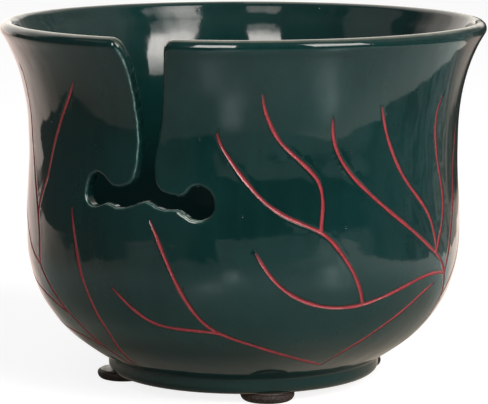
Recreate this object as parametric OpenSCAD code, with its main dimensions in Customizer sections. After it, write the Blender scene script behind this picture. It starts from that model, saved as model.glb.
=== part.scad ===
// Yarn bowl: a wheel-thrown glazed stoneware bowl with a yarn slot cut through
// the wall. The slot opens at the rim, drops as a narrow throat and ends in a
// level cross channel with a round eye at each end. The bowl stands on four
// self-adhesive rubber bumpers stuck to its foot ring.
// Millimetres. +Z is up, the slot faces -Y (the front), right is +X. z = 0 is
// the table under the bumpers and the bowl's axis is x = y = 0. Heights of the
// bowl and its slot are measured from the foot ring's resting face.

/* [Bowl wall] */
// Outside diameter across the rolled rim
rim_d = 173.9; // [168:0.1:180]
// Height of the bowl itself, foot ring face to rim crest
bowl_h = 127.2; // [122:0.1:134]
// Outside diameter of the belly, the fullest part low on the wall
belly_d = 156.5; // [150:0.1:162]
// Height of the belly
belly_z = 57; // [52:0.5:62]
// Outside diameter of the slight waist under the flare
waist_d = 154.4; // [149:0.1:160]
// Height of the waist
waist_z = 82; // [76:0.5:88]
// Wall thickness, which is also the rim roll's diameter
wall = 4.8; // [4:0.1:5.6]
// Height of the inside floor at the centre
floor_z = 10.4; // [9:0.1:13]

/* [Foot ring] */
// Outside diameter of the foot ring
ring_d = 98.4; // [93:0.1:102]
// Inside diameter of the foot ring
ring_bore_d = 73; // [68:0.5:78]
// Depth of the recess turned inside the foot ring
recess_h = 4.4; // [3:0.1:5]
// Height of the ring's outside face, up to the underside of the bowl
ring_h = 5.8; // [5:0.1:7]
// Rounding on the ring's two lower corners
ring_round = 1.8; // [1:0.1:2.4]

/* [Yarn slot] */
// Width of the throat at its narrowest
throat_w = 5.6; // [4.5:0.1:7]
// Width of the slot's mouth at the rim
mouth_w = 20; // [17:0.5:24]
// Height of the cross channel's middle
channel_z = 72; // [68:0.5:76]
// Diameter of the round eyes at the channel's ends
eye_d = 11.4; // [10:0.1:13]
// Angle round the bowl from the slot to the left eye, degrees
left_eye_a = 14.9; // [13:0.1:17]
// Angle round the bowl from the slot to the right eye, degrees
right_eye_a = 13.9; // [12:0.1:16]
// Drop of the right eye below the left, the hand-cut tilt of the channel
eye_drop = 2.5; // [0:0.1:4]

/* [Bumpers] */
// Bumper diameter
pad_d = 19.1; // [16:0.1:22]
// Bumper thickness
pad_h = 3.3; // [3:0.1:4]
// Rounding of the bumper's lower edge
pad_round = 2.1; // [1:0.1:2.2]
// Diameter of the adhesive disc over each bumper
glue_d = 17; // [14:0.1:18]
// Thickness of the adhesive disc
glue_h = 0.3; // [0.2:0.05:0.5]
// Nominal radius from the bowl's axis to the bumper centres
pad_r = 43.5; // [42:0.1:45]

/* [Hidden] */
$fn = 96;
clay = [0.10, 0.27, 0.26];
rubber = [0.20, 0.15, 0.14];
film = [0.80, 0.80, 0.76];

ring_lift = pad_h + glue_h;   // foot ring face above the table
ring_r = ring_d / 2;
bore_r = ring_bore_d / 2;

// Each bumper: [angle from the slot towards +X, offset from the nominal radius]
pad_places = [[37.1, -3.3], [141.5, 3], [225, 0], [-62.9, 0.2]];
pad_top_round = 0.7;

// ---- rim roll, as [radius, height] ----
roll_r = wall / 2;
roll_centre = [rim_d / 2 - roll_r, bowl_h - roll_r];
rim_tilt = 28;                // the wall's lean outwards at the rim
roll_side = roll_r * [cos(rim_tilt), -sin(rim_tilt)];
rim_outer = roll_centre + roll_side;   // where the outside meets the roll
rim_inner = roll_centre - roll_side;   // where the inside meets the roll

// ---- outside of the wall: [height, radius] at the gauge heights ----
gauge = [
    [ring_h + 0.2, ring_r + 0.6],
    [14, ring_r + 12.3],
    [26, belly_d / 2 - 6.4],
    [40, belly_d / 2 - 1],
    [belly_z, belly_d / 2],
    [waist_z, waist_d / 2],
    [100, waist_d / 2 + 1.1],
    [roll_centre[1] - 10.8, rim_outer[0] - 4.7],
    [rim_outer[1], rim_outer[0]]
];
last_span = len(gauge) - 2;
span_steps = [4, 4, 4, 4, 5, 4, 4, 4];
foot_slope = 1.64;            // radius gained per height at the lowest gauge

// Slopes are radius per height. Span i runs from gauge i to gauge i + 1.
function span_h(i) = gauge[i + 1][0] - gauge[i][0];
function span_slope(i) = (gauge[i + 1][1] - gauge[i][1]) / span_h(i);
function gauge_slope(i) =
    i == 0 ? foot_slope :
    i > last_span ? tan(rim_tilt) :
    (span_h(i) * span_slope(i - 1) + span_h(i - 1) * span_slope(i)) /
    (span_h(i - 1) + span_h(i));

// Cubic Hermite curve: radius and slope on span i at fraction t of its height
function wall_radius(i, t) =
    (2 * t * t * t - 3 * t * t + 1) * gauge[i][1] +
    (t * t * t - 2 * t * t + t) * span_h(i) * gauge_slope(i) +
    (3 * t * t - 2 * t * t * t) * gauge[i + 1][1] +
    (t * t * t - t * t) * span_h(i) * gauge_slope(i + 1);
function wall_slope(i, t) =
    (6 * t * t - 6 * t) * (gauge[i][1] - gauge[i + 1][1]) / span_h(i) +
    (3 * t * t - 4 * t + 1) * gauge_slope(i) +
    (3 * t * t - 2 * t) * gauge_slope(i + 1);

// Points [radius, height] on the wall's two faces
function outer_point(i, t) = [wall_radius(i, t), gauge[i][0] + t * span_h(i)];
function inner_point(i, t) =
    let (slope = wall_slope(i, t))
    outer_point(i, t) + wall * [-1, slope] / norm([1, slope]);

outer_line = concat(
    [for (i = [0 : last_span]) for (j = [0 : span_steps[i] - 1])
        outer_point(i, j / span_steps[i])],
    [rim_outer]
);

// The inside is the outside set in by the wall, down to where the floor starts
floor_span = 3;
inner_line = concat(
    [for (i = [floor_span : last_span]) for (j = [0 : span_steps[i] - 1])
        inner_point(i, j / span_steps[i])],
    [rim_inner]
);

// Floor: one Bezier curve from the foot of the inner wall to the level centre
floor_steps = 22;
floor_pull = 22;              // length of the curve's handle down the wall
floor_level_r = 46;           // radius of its handle at floor height
floor_start = inner_line[0];
start_slope = wall_slope(floor_span, 0);
wall_handle = floor_start - floor_pull * [start_slope, 1] / norm([1, start_slope]);
floor_handle = [floor_level_r, floor_z];
function floor_point(t) =
    pow(1 - t, 3) * floor_start + 3 * t * pow(1 - t, 2) * wall_handle +
    3 * t * t * (1 - t) * floor_handle + t * t * t * [0, floor_z];

module wall_section() {
    polygon(concat(
        [[0, recess_h], [ring_r - 1, recess_h],
         [ring_r, ring_h - 1.2], [ring_r + 0.12, ring_h - 0.6]],
        outer_line,
        [for (i = [len(inner_line) - 1 : -1 : 0]) inner_line[i]],
        [for (j = [1 : floor_steps]) floor_point(j / floor_steps)]
    ));
    translate(roll_centre) circle(r = roll_r);
}

// Foot ring, run up into the underside of the bowl
module ring_section() {
    ring_w = ring_r - bore_r;
    translate([bore_r + ring_round, 0]) square([ring_w - 2 * ring_round, recess_h + 1]);
    translate([bore_r, ring_round]) square([ring_w, recess_h + 0.5 - ring_round]);
    for (x = [bore_r + ring_round, ring_r - ring_round])
        translate([x, ring_round]) circle(r = ring_round);
}

// ---- yarn slot, drawn flat: x to the right, y up ----
// Points are [x, y] offsets from the mouth's or throat's half width and from
// the height of the rim or channel.
mouth_x = mouth_w / 2;
throat_x = throat_w / 2;
function offset_from(origin, points) = [for (point = points) origin + point];

// Down from the mouth and out along the channel to the left eye
left_edge = concat(
    offset_from([-mouth_x, bowl_h], [[2.5, 2], [2.8, -2], [4.6, -5]]),
    offset_from([-mouth_x, channel_z], [[5.7, 41]]),
    offset_from([-throat_x, channel_z], [
        [-0.7, 36], [-0.1, 28], [0.2, 19], [-0.7, 13], [-1.8, 8],
        [-4.6, 4.6], [-8.8, 3.6], [-11.9, 4.6], [-14.6, 6.8], [-16.7, 5]
    ])
);
// Wavy sill of the channel, left eye to right eye
sill = concat(
    offset_from([-throat_x, channel_z], [
        [-17.2, -1.2], [-15.4, -3], [-12.9, -2.3],
        [-10, -2.7], [-7.2, -3.2], [-3.6, -2.3]
    ]),
    offset_from([0, channel_z], [[0.4, -0.8]]),
    offset_from([throat_x, channel_z], [
        [1.6, -2.6], [4.1, -3], [6.8, -2.6], [9.4, -2.9], [11.6, -4.4], [13.8, -5]
    ])
);
// From the right eye in along the channel and up to the mouth
right_edge = concat(
    offset_from([throat_x, channel_z], [
        [13.4, 2.2], [11.6, 2.6], [9.4, 1.4], [6.4, 1.7], [3.4, 2.2], [1.1, 3.9],
        [0.3, 7.4], [0.3, 13], [1.2, 19], [2.5, 27], [4, 35]
    ]),
    offset_from([mouth_x, channel_z], [[-2, 43]]),
    offset_from([mouth_x, bowl_h], [[-0.8, -5], [0.4, -2.4], [1.4, 2]])
);

// Catmull-Rom curve through a row of points
smooth_steps = 4;
function smooth_point(points, i, t) =
    let (
        before = points[max(i - 1, 0)],
        start = points[i],
        end = points[i + 1],
        after = points[min(i + 2, len(points) - 1)]
    )
    0.5 * (2 * start + (end - before) * t +
    (2 * before - 5 * start + 4 * end - after) * t * t +
    (3 * start - before - 3 * end + after) * t * t * t);
function smooth(points) = concat(
    [for (i = [0 : len(points) - 2]) for (j = [0 : smooth_steps - 1])
        smooth_point(points, i, j / smooth_steps)],
    [points[len(points) - 1]]
);

slot_inset = 40;              // start of the slot's cut, in from the rim
slot_depth = 50;
eye_start_r = 60;             // start of an eye's cut, out from the axis
eye_depth = 30;
left_eye_z = channel_z + 1.9;

module slot_cut() {
    translate([0, slot_inset - rim_d / 2, ring_lift]) rotate([90, 0, 0])
        linear_extrude(height = slot_depth)
            polygon(concat(smooth(left_edge), smooth(sill), smooth(right_edge)));
}

// Round eye cut radially through the wall, at an angle from the slot towards +X
module eye_cut(angle, eye_z) {
    translate([0, 0, ring_lift + eye_z]) rotate([0, 0, angle]) rotate([90, 0, 0])
        translate([0, 0, eye_start_r]) cylinder(d = eye_d, h = eye_depth);
}

module bowl() {
    color(clay) difference() {
        translate([0, 0, ring_lift]) rotate_extrude() {
            wall_section();
            ring_section();
        }
        slot_cut();
        eye_cut(-left_eye_a, left_eye_z);
        eye_cut(right_eye_a, left_eye_z - eye_drop);
    }
}

// Moves its children to bumper place i, at height z above the table
module at_pad(i, z = 0) {
    rotate([0, 0, pad_places[i][0]]) translate([0, -pad_r - pad_places[i][1], z]) children();
}

// Half section of a bumper: a large lower rounding and a small upper one
module bumper_section() {
    edge_r = pad_d / 2;
    low_x = edge_r - pad_round;
    top_x = edge_r - pad_top_round;
    top_y = pad_h - pad_top_round;
    square([low_x, top_y]);
    translate([0, pad_round]) square([top_x, pad_h - pad_round]);
    translate([0, pad_round]) square([edge_r, top_y - pad_round]);
    translate([low_x, pad_round]) intersection() {
        circle(r = pad_round);
        translate([0, -pad_round]) square(pad_round);
    }
    translate([top_x, top_y]) intersection() {
        circle(r = pad_top_round);
        square(pad_top_round);
    }
}

module bumper(i) {
    color(rubber) at_pad(i) rotate_extrude() bumper_section();
}

// Adhesive disc between a bumper and the foot ring
module adhesive(i) {
    color(film) at_pad(i, pad_h) cylinder(d = glue_d, h = glue_h);
}

bowl();
bumper(0);  // bumper_front_right
bumper(1);  // bumper_rear_right
bumper(2);  // bumper_rear_left
bumper(3);  // bumper_front_left
adhesive(0);  // adhesive_front_right
adhesive(1);  // adhesive_rear_right
adhesive(2);  // adhesive_rear_left
adhesive(3);  // adhesive_front_left
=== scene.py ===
"""A glazed stoneware yarn bowl: a slot cut down through its wall, red vine lines cut into the
outside, a foot ring, and four rubber bumpers on adhesive discs under it.

+Z is up. The slot faces -Y and angles round the bowl are counted from it towards +X. The bowl is
drawn in millimetres above the foot ring's face, on a flat sheet (across, up) wrapped round the
wall, and scaled to the bowl's box in the frame."""
import math
import bpy
import numpy as np
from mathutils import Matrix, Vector, kdtree
from mathutils.geometry import delaunay_2d_cdt


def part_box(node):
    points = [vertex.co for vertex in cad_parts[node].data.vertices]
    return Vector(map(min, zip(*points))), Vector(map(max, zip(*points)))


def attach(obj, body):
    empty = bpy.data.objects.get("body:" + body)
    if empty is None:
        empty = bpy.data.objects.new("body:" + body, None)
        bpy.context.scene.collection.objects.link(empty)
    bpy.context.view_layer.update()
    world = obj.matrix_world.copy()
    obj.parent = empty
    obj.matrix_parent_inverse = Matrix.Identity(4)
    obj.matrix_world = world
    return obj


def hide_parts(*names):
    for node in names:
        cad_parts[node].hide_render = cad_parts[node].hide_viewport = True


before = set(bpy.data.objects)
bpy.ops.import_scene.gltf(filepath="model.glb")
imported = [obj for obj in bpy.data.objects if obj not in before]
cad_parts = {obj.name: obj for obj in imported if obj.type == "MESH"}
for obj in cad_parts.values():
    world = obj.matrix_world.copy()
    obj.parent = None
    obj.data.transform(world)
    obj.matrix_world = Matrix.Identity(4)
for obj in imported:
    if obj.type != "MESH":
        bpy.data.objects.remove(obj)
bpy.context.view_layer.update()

MM = 0.001
DEGREE = math.pi / 180

# ------------------------------------------------------------------ sizes, mm
RIM_RADIUS, HEIGHT = 86.95, 127.2
WALL = 4.8
HALF = WALL / 2                       # half the wall, and the radius of the rim's rounding
LEAN = math.radians(28)               # outward lean of the wall at the rim
TOP_Z = HEIGHT - HALF - HALF * math.sin(LEAN)           # where the outside turns into the rim
TOP_R = RIM_RADIUS - HALF + HALF * math.cos(LEAN)
RING_OUT, RING_IN = 49.2, 36.5        # the foot ring's outer and inner radius
RECESS = 4.4                          # height of the underside within the ring
RING_ROUND_OUT, RING_ROUND_IN, RECESS_ROUND = 2.7, 1.8, 1.2
FLOOR_Z = 10.4
INSIDE_LOW_Z = 40                     # where the inside wall hands over to the floor
SHEET_RADIUS = 77.6
HALF_ROUND = math.pi * SHEET_RADIUS   # the sheet runs this far either side of the slot
SLOT_REACH = 34                       # the whole slot lies nearer than this to across = 0

bowl_low, bowl_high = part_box("bowl")
FOOT_Z = bowl_low.z / MM
SCALE_R = max(bowl_high.x, -bowl_low.x) / MM / RIM_RADIUS
SCALE_Z = (bowl_high.z - bowl_low.z) / MM / HEIGHT

# (height, outside radius) up the wall
STATIONS = [(6.0, 49.8), (14, 61.5), (26, 71.85), (40, 77.25), (57, 78.25), (82, 77.2),
            (100, 78.3), (HEIGHT - HALF - 10.8, TOP_R - 4.7), (TOP_Z, TOP_R)]


# ------------------------------------------------------------------ curves and the wall
def unit(vectors):
    return vectors / np.linalg.norm(vectors, axis=1)[:, None]


def outline_through(stations, first_slope, last_slope, steps):
    """smooth (radius, z) run through (z, radius) stations, steps points to each gap"""
    z, r = np.array(stations, float).T
    gap = np.diff(z)
    rate = np.diff(r) / gap
    slope = np.empty(len(z))
    slope[1:-1] = (gap[1:] * rate[:-1] + gap[:-1] * rate[1:]) / (gap[1:] + gap[:-1])
    slope[0], slope[-1] = first_slope, last_slope
    rows = []
    for i in range(len(gap)):
        t = np.linspace(0, 1, steps, endpoint=False)[:, None]
        radius = ((2 * t**3 - 3 * t**2 + 1) * r[i] + (t**3 - 2 * t**2 + t) * gap[i] * slope[i]
                  + (3 * t**2 - 2 * t**3) * r[i + 1] + (t**3 - t**2) * gap[i] * slope[i + 1])
        rows.append(np.hstack([radius, z[i] + t * gap[i]]))
    rows.append(np.array([[r[-1], z[-1]]]))
    return np.vstack(rows)


OUTLINE = outline_through(STATIONS, 1.64, math.tan(LEAN), 60)
RUN = np.concatenate([[0], np.cumsum(np.linalg.norm(np.diff(OUTLINE, axis=0), axis=1))])
TANGENT = unit(np.gradient(OUTLINE, RUN, axis=0))
TANGENT[-1] = (math.sin(LEAN), math.cos(LEAN))
NORMAL = np.stack([TANGENT[:, 1], -TANGENT[:, 0]], 1)
RIM_UP = RUN[-1] + HALF               # the rim's crest on the sheet


def wall_at(up):
    """mid-wall radius and z, and the outward normal's radial and rising parts"""
    below = np.minimum(up, RUN[-1])
    r, z, nr, nz = (np.interp(below, RUN, column) for column in (*OUTLINE.T, *NORMAL.T))
    shrink = 1 / np.hypot(nr, nz)
    nr, nz = nr * shrink, nz * shrink
    beyond = np.maximum(up - RUN[-1], 0)
    return r - HALF * nr - nz * beyond, z - HALF * nz + nr * beyond, nr, nz


def up_at(z):
    return np.interp(z, OUTLINE[:, 1], RUN)


def turned(angle, radial, rise):
    """vectors with these radial and rising parts, turned to their angles round the bowl"""
    parts = (radial * np.sin(angle), -radial * np.cos(angle), rise)
    return np.stack(np.broadcast_arrays(*parts), -1)


def place(angle, radius, z):
    """a point of the bowl as millimetres in the frame"""
    return turned(angle, radius, z) * (SCALE_R, SCALE_R, SCALE_Z) + (0, 0, FOOT_Z)


def outside_place(flat):
    r, z, nr, nz = wall_at(flat[:, 1])
    return place(flat[:, 0] / SHEET_RADIUS, r + HALF * nr, z + HALF * nz)


def sheet_points(stations):
    """(degrees round, height) stations as (across, up) on the sheet"""
    stations = np.array(stations, float)
    return np.stack([np.radians(stations[:, 0]) * SHEET_RADIUS, up_at(stations[:, 1])], 1)


def smooth_path(points, step):
    """centripetal Catmull-Rom run through points, resampled evenly"""
    def mixed(start, end, t_start, t_end, t):
        span = t_end - t_start
        return (t_end - t) / span * start + (t - t_start) / span * end

    points = np.asarray(points, float)
    padded = np.vstack([2 * points[0] - points[1], points, 2 * points[-1] - points[-2]])
    path = []
    for i in range(len(points) - 1):
        quad = padded[i:i + 4]
        knots = [0]
        for start, end in zip(quad, quad[1:]):
            knots.append(knots[-1] + max(np.linalg.norm(end - start), 1e-6) ** 0.5)
        for t in np.linspace(knots[1], knots[2], 24, endpoint=False):
            first = [mixed(quad[k], quad[k + 1], knots[k], knots[k + 1], t) for k in range(3)]
            second = [mixed(first[k], first[k + 1], knots[k], knots[k + 2], t) for k in range(2)]
            path.append(mixed(*second, knots[1], knots[2], t))
    path.append(points[-1])
    path = np.array(path)
    run = np.concatenate([[0], np.cumsum(np.linalg.norm(np.diff(path, axis=0), axis=1))])
    spots = np.linspace(0, run[-1], max(2, int(round(run[-1] / step)) + 1))
    return np.stack([np.interp(spots, run, column) for column in path.T], 1)


# ------------------------------------------------------------------ lip
# the lip is a touch thicker than the wall: slope and offset by distance below the rim
DROP = np.linspace(0, 16, 641)


def shelf(start, end, softness):
    return 0.5 * (np.tanh((DROP - start) / softness) - np.tanh((DROP - end) / softness))


def lip_profile(slope):
    offset = np.cumsum(slope) * (DROP[1] - DROP[0])
    return offset - offset[-1], slope


def lip_at(drop, lip):
    return [np.interp(drop, DROP, column) for column in lip]


LIP_IN = lip_profile(-0.092 * shelf(2.55, 5.6, 0.35) + 0.022 * np.exp(-((DROP - 7.5) / 0.9) ** 2))
LIP_OUT = lip_profile(-0.075 * shelf(2.9, 6.2, 0.5))
LIP = HALF + (LIP_IN[0][0] + LIP_OUT[0][0]) / 2         # radius of the rim's rounding

# ------------------------------------------------------------------ yarn slot
CUT_STEP = 0.62
# rim corners, left and right: (across, drop below the rim)
CORNER_LEFT = [(-9.7, 0), (-8.2, 0.1), (-7.0, 0.6), (-5.9, 1.6), (-5.1, 3.2), (-4.6, 5.4)]
CORNER_RIGHT = [(9.2, 3.7), (9.6, 2.2), (10.35, 1.05), (11.5, 0.22), (13.0, 0)]
# (degrees round, height) down the left of the throat, along the sill and up the right
THROAT = [
    (-3.02, 117.9), (-2.82, 114), (-2.5, 108.1), (-2.3, 101.7), (-2.08, 95.8), (-2.08, 91),
    (-2.45, 86.2), (-3.05, 81.6), (-4.0, 78.2), (-6.1, 76.0), (-8.9, 75.3), (-11.0, 76.0),
    (-12.6, 77.6), (-13.9, 79.0), (-15.4, 79.5), (-17.3, 78.3), (-18.6, 76.0), (-19.1, 73.5),
    (-19.0, 71.2), (-18.3, 69.3), (-16.8, 68.3), (-14.9, 68.7), (-13.4, 69.4), (-11.7, 69.7),
    (-10.2, 69.3), (-8.6, 68.7), (-6.7, 68.8), (-4.6, 69.7), (-2.3, 70.8), (-0.2, 71.4),
    (1.4, 70.7), (2.9, 69.6), (4.5, 69.0), (6.4, 69.1), (8.1, 69.2), (9.6, 68.1), (11.3, 66.8),
    (13.1, 65.9), (14.9, 66.0), (16.4, 67.3), (17.4, 69.3), (17.6, 71.5), (17.0, 74.1),
    (15.8, 76.1), (14.2, 77.2), (12.5, 76.9), (11.2, 75.5), (10.1, 74.1), (8.8, 73.5),
    (7.1, 73.7), (5.1, 74.3), (3.4, 75.4), (2.3, 77.5), (1.9, 80.4), (1.85, 83.6), (2.1, 86.8),
    (2.75, 91.0), (3.3, 94.8), (4.1, 100), (4.95, 107.5), (5.85, 114.6), (6.5, 120)]


def slot_cut():
    """the slot's edge on the sheet, with a little hand-cut unevenness"""
    left, right = ([(across, RIM_UP - drop) for across, drop in corner]
                   for corner in (CORNER_LEFT, CORNER_RIGHT))
    cut = smooth_path(np.vstack([left, sheet_points(THROAT), right]), CUT_STEP)
    cut[:, 1] = np.minimum(cut[:, 1], RIM_UP)
    run = np.arange(len(cut)) * CUT_STEP
    wobble = (0.08 * np.sin(run * 0.83 + 0.4) + 0.05 * np.sin(run * 1.91 + 2.0)
              + 0.025 * np.sin(run * 3.7))
    along = unit(np.gradient(cut, axis=0))
    # none close to the rim, little up the right side of the throat
    share = (np.clip((RIM_UP - cut[:, 1] - 4) / 6, 0, 1)
             * np.where((cut[:, 0] > 0) & (cut[:, 1] > up_at(77)), 0.25, 1.0))
    return cut + np.stack([-along[:, 1], along[:, 0]], 1) * (wobble * share)[:, None]


def rim_line(across):
    return np.stack([across, np.full(len(across), RIM_UP)], 1)


CUT = slot_cut()
RIM_STEP = 2.2
rim_left = np.linspace(-HALF_ROUND, CUT[0, 0],
                       1 + int((CUT[0, 0] + HALF_ROUND) / RIM_STEP))[:-1]
rim_right = np.linspace(CUT[-1, 0], HALF_ROUND,
                        1 + int((HALF_ROUND - CUT[-1, 0]) / RIM_STEP))[1:]
# the sheet's whole upper edge: rim, slot, rim
EDGE = np.vstack([rim_line(rim_left), CUT, rim_line(rim_right)])
EDGE_COUNT = len(EDGE)
PLAIN_RIM = np.ones(EDGE_COUNT, bool)
PLAIN_RIM[len(rim_left):len(rim_left) + len(CUT)] = False
edge_along = unit(np.gradient(EDGE, axis=0))
INTO_CLAY = np.stack([edge_along[:, 1], -edge_along[:, 0]], 1)
INTO_CLAY[PLAIN_RIM] = (0, -1)
EDGE_DROP = RIM_UP - EDGE[:, 1]
# radius of the edge's rounding: the lip's at the rim, small down in the slot
EDGE_ROUND = LIP + (1.35 - LIP) * np.clip((EDGE_DROP - 0.3) / 9.0, 0, 1) ** 0.8
EDGE_ROUND[PLAIN_RIM] = LIP
# how pale the edge shows, by which way it faces: partly the glaze breaking thin, partly painted
# highlight
EDGE_BREAK_AND_HIGHLIGHT = np.clip(0.20 + 0.95 * (-INTO_CLAY[:, 0] * 0.72 - INTO_CLAY[:, 1] * 0.55), 0.16, 1.0)
EDGE_BREAK_AND_HIGHLIGHT = np.where((INTO_CLAY[:, 0] > 0.5) & (EDGE[:, 0] < 14), 0.42, EDGE_BREAK_AND_HIGHLIGHT)
EDGE_BREAK_AND_HIGHLIGHT = np.convolve(np.pad(EDGE_BREAK_AND_HIGHLIGHT, 3, mode="edge"), np.ones(7) / 7, mode="valid")


def search_tree(points):
    tree = kdtree.KDTree(len(points))
    for i, point in enumerate(points):
        tree.insert(point, i)
    tree.balance()
    return tree


def nearest_on(line, joined, point, index):
    """(distance, segment, share along it, offset) from the segments either side of line[index]"""
    best = None
    for k in (index - 1, index):
        if k < 0 or k + 1 >= len(line) or not joined[k]:
            continue
        along = line[k + 1] - line[k]
        share = min(1.0, max(0.0, float((point - line[k]) @ along / (along @ along))))
        offset = point - (line[k] + share * along)
        distance = math.sqrt(float(offset @ offset))
        if best is None or distance < best[0]:
            best = (distance, k, share, offset)
    return best


def between(values, k, share):
    return values[k] * (1 - share) + values[k + 1] * share


EDGE_TREE = search_tree(np.hstack([EDGE, np.zeros((EDGE_COUNT, 1))]))
EDGE_JOINED = np.ones(EDGE_COUNT, bool)


def edge_distance(flat):
    """distance to the sheet's edge, its rounding there, the way into the clay, its pale glaze
    break with painted highlight
    """
    distance = RIM_UP - flat[:, 1]
    rounding = np.full(len(flat), LIP)
    break_highlight_share = np.full(len(flat), 0.2)
    inward = np.tile([0.0, -1.0], (len(flat), 1))
    for j in np.where(np.abs(flat[:, 0]) < SLOT_REACH)[0]:
        _, i, _ = EDGE_TREE.find((*flat[j], 0))
        distance[j], k, share, offset = nearest_on(EDGE, EDGE_JOINED, flat[j], i)
        rounding[j] = between(EDGE_ROUND, k, share)
        break_highlight_share[j] = between(EDGE_BREAK_AND_HIGHLIGHT, k, share)
        if distance[j] > 1e-3:
            inward[j] = offset / distance[j]
        else:
            way = between(INTO_CLAY, k, share)
            inward[j] = way / np.linalg.norm(way)
    return distance, rounding, inward, break_highlight_share


def cut_away(flat):
    """true where the sheet is cut away"""
    # going straight up from solid clay crosses the edge an odd number of times
    across, up = flat.T
    crossings = np.zeros(len(flat), int)
    near = np.abs(across) < SLOT_REACH
    for (x0, y0), (x1, y1) in zip(EDGE[:-1], EDGE[1:]):
        if max(abs(x0), abs(x1)) >= SLOT_REACH + 2:
            continue
        over = near & (across >= min(x0, x1)) & (across < max(x0, x1))
        if over.any():
            crossings[over] += y0 + (across[over] - x0) / (x1 - x0) * (y1 - y0) > up[over]
    return (up > RIM_UP + 1e-9) | (near & (crossings % 2 == 0))


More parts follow.
